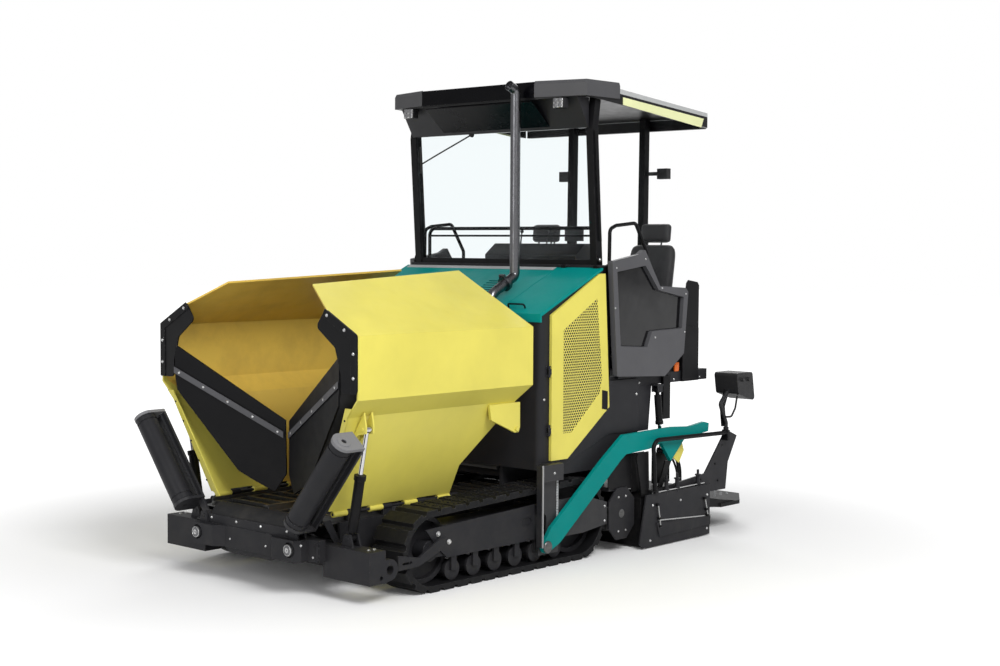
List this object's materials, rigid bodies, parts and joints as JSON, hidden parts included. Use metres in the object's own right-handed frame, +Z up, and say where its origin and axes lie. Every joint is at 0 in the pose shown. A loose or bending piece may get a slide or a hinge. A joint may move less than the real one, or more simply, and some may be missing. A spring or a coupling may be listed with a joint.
{
  "type": "tracked asphalt paver",
  "caption": "Small tracked asphalt paver with folding hopper wings, push rollers, operator platform under a canopy, augers and a towed screed.",
  "frame": {"origin": "on the ground, under the centre of the bounding box", "axes": "+X to the machine's left, +Y to its rear (screed), +Z up; the hopper faces -Y"},
  "size_m": [2.496, 4.7279, 3.536],
  "materials": {
    "wing_yellow": "satin",
    "door_yellow": "satin",
    "body_teal": "satin",
    "charcoal_paint": "satin",
    "black_paint": "satin",
    "gloss_black": "gloss",
    "grey_paint": "satin",
    "worn_steel": "worn",
    "exhaust_steel": "heat tinted",
    "chromed_rod": "polished",
    "black_rubber": "matt",
    "clear_glass": "clear",
    "seat_cover": "matt",
    "dark_plastic": "matt",
    "cap_plastic": "matt",
    "cast_grey": "rough",
    "track_steel": "rough"
  },
  "bodies": {
    "chassis": {"auger_housing": "charcoal_paint", "body_shell": "charcoal_paint", "canopy_frame": "black_paint", "dash_console": "dark_plastic", "engine": "cast_grey", "exhaust_elbow": "exhaust_steel", "guard_arms": "charcoal_paint", "handrails": "black_paint", "hood_panel": "body_teal", "hopper_apron": "black_rubber", "hopper_floor": "worn_steel", "main_frame": "charcoal_paint", "platform": "charcoal_paint", "push_beam": "charcoal_paint", "rear_panels": "black_paint", "roof_caps": "cap_plastic", "roof_fascia": "gloss_black", "roof_shell": "gloss_black", "seats": "seat_cover", "side_consoles": "charcoal_paint", "slat_conveyors": "worn_steel", "tow_columns": "charcoal_paint", "track_frames": "charcoal_paint", "track_left": "track_steel", "track_right": "track_steel", "windscreen": "clear_glass", "work_lamps": "dark_plastic"},
    "left_wing": {"hopper_wing_left": "wing_yellow", "wing_edge_left": "black_paint"},
    "right_wing": {"hopper_wing_right": "wing_yellow", "wing_edge_right": "black_paint"},
    "left_wing_barrel": {"wing_barrel_left": "black_paint"},
    "right_wing_barrel": {"wing_barrel_right": "black_paint"},
    "left_wing_rod": {"wing_rod_left": "chromed_rod"},
    "right_wing_rod": {"wing_rod_right": "chromed_rod"},
    "left_roller_arm": {"roller_carrier_left": "charcoal_paint"},
    "right_roller_arm": {"roller_carrier_right": "charcoal_paint"},
    "left_push_roller": {"push_roller_left": "charcoal_paint"},
    "right_push_roller": {"push_roller_right": "charcoal_paint"},
    "engine_lid": {"hood_lid": "body_teal"},
    "left_door": {"service_door_left": "door_yellow"},
    "right_door": {"service_door_right": "door_yellow"},
    "exhaust_pipe": {"exhaust_stack": "exhaust_steel"},
    "tow_points": {"tow_slides": "worn_steel"},
    "screed": {"tow_arms": "body_teal", "screed_body": "black_paint", "screed_brackets": "charcoal_paint", "end_gates": "charcoal_paint", "screed_walkway": "black_paint", "control_boxes": "dark_plastic"},
    "lift_cylinders": {"lift_barrels": "black_paint"},
    "lift_cylinder_rods": {"lift_rods": "chromed_rod"},
    "left_auger": {"auger_left": "worn_steel"},
    "right_auger": {"auger_right": "worn_steel"}
  },
  "joints": [
    {"name": "left_wing_fold", "type": "hinge", "parent": "chassis", "child": "left_wing", "pos_m": [0.614, -1.381, 0.535], "axis": [0, 1, 0], "range_deg": [0, 40]},
    {"name": "left_wing_barrel_swing", "type": "hinge", "parent": "chassis", "child": "left_wing_barrel", "pos_m": [0.805, -1.991, 0.405], "axis": [0, 1, 0], "range_deg": [0, 39.71]},
    {"name": "left_wing_rod_slide", "type": "slide", "parent": "left_wing_barrel", "child": "left_wing_rod", "axis": [0.1966, 0, 0.9805], "range_m": [-0.1588, 0]},
    {"name": "left_roller_fold", "type": "hinge", "parent": "chassis", "child": "left_roller_arm", "pos_m": [0.48, -2.19, 0.43], "axis": [0, 1, 0], "range_deg": [0, 51]},
    {"name": "left_push_roller_spin", "type": "hinge", "parent": "left_roller_arm", "child": "left_push_roller", "pos_m": [0.599, -2.286, 0.518], "axis": [0.6285, 0, 0.7778], "continuous": true},
    {"name": "left_door_hinge", "type": "hinge", "parent": "chassis", "child": "left_door", "pos_m": [1.036, -0.291, 1.2], "axis": [0, 0, -1], "range_deg": [0, 95]},
    {"name": "left_auger_spin", "type": "hinge", "parent": "chassis", "child": "left_auger", "pos_m": [0.55, 0.519, 0.292], "axis": [1, 0, 0], "continuous": true},
    {"name": "right_wing_fold", "type": "hinge", "parent": "chassis", "child": "right_wing", "pos_m": [-0.614, -1.381, 0.535], "axis": [0, -1, 0], "range_deg": [0, 40]},
    {"name": "right_wing_barrel_swing", "type": "hinge", "parent": "chassis", "child": "right_wing_barrel", "pos_m": [-0.805, -1.991, 0.405], "axis": [0, -1, 0], "range_deg": [0, 39.71]},
    {"name": "right_wing_rod_slide", "type": "slide", "parent": "right_wing_barrel", "child": "right_wing_rod", "axis": [-0.1966, 0, 0.9805], "range_m": [-0.1588, 0]},
    {"name": "right_roller_fold", "type": "hinge", "parent": "chassis", "child": "right_roller_arm", "pos_m": [-0.48, -2.19, 0.43], "axis": [0, -1, 0], "range_deg": [0, 51]},
    {"name": "right_push_roller_spin", "type": "hinge", "parent": "right_roller_arm", "child": "right_push_roller", "pos_m": [-0.599, -2.286, 0.518], "axis": [-0.6285, 0, 0.7778], "continuous": true},
    {"name": "right_door_hinge", "type": "hinge", "parent": "chassis", "child": "right_door", "pos_m": [-1.036, -0.291, 1.2], "axis": [0, 0, 1], "range_deg": [0, 95]},
    {"name": "right_auger_spin", "type": "hinge", "parent": "chassis", "child": "right_auger", "pos_m": [-0.55, 0.519, 0.292], "axis": [1, 0, 0], "continuous": true},
    {"name": "engine_lid_hinge", "type": "hinge", "parent": "chassis", "child": "engine_lid", "pos_m": [0.82, 0.309, 2.161], "axis": [-1, 0, 0], "range_deg": [0, 60]},
    {"name": "exhaust_fold", "type": "hinge", "parent": "chassis", "child": "exhaust_pipe", "pos_m": [0.47, -0.17539, 2.08992], "axis": [1, 0, 0], "range_deg": [0, 80]},
    {"name": "tow_point_slide", "type": "slide", "parent": "chassis", "child": "tow_points", "axis": [0, 0, 1], "range_m": [0, 0.2]},
    {"name": "screed_lift", "type": "hinge", "parent": "tow_points", "child": "screed", "pos_m": [0, -0.385, 0.164], "axis": [1, 0, 0], "range_deg": [0, 7]},
    {"name": "lift_cylinder_swing", "type": "hinge", "parent": "chassis", "child": "lift_cylinders", "pos_m": [0, 1.009, 1.2], "axis": [-1, 0, 0], "range_deg": [0, 10.55]},
    {"name": "lift_rod_slide", "type": "slide", "parent": "lift_cylinders", "child": "lift_cylinder_rods", "axis": [0, -0.1228, 0.9924], "range_m": [0, 0.1773]}
  ],
  "couplings": [
    {"joint": "left_wing_barrel_swing", "follows": "left_wing_fold", "ratio": 0.98024},
    {"joint": "left_wing_rod_slide", "follows": "left_wing_fold", "m_per_rad": -0.22601},
    {"joint": "right_wing_barrel_swing", "follows": "right_wing_fold", "ratio": 0.98024},
    {"joint": "right_wing_rod_slide", "follows": "right_wing_fold", "m_per_rad": -0.22601},
    {"joint": "lift_cylinder_swing", "follows": "screed_lift", "ratio": 1.479},
    {"joint": "lift_rod_slide", "follows": "screed_lift", "m_per_rad": 1.4428}
  ]
}
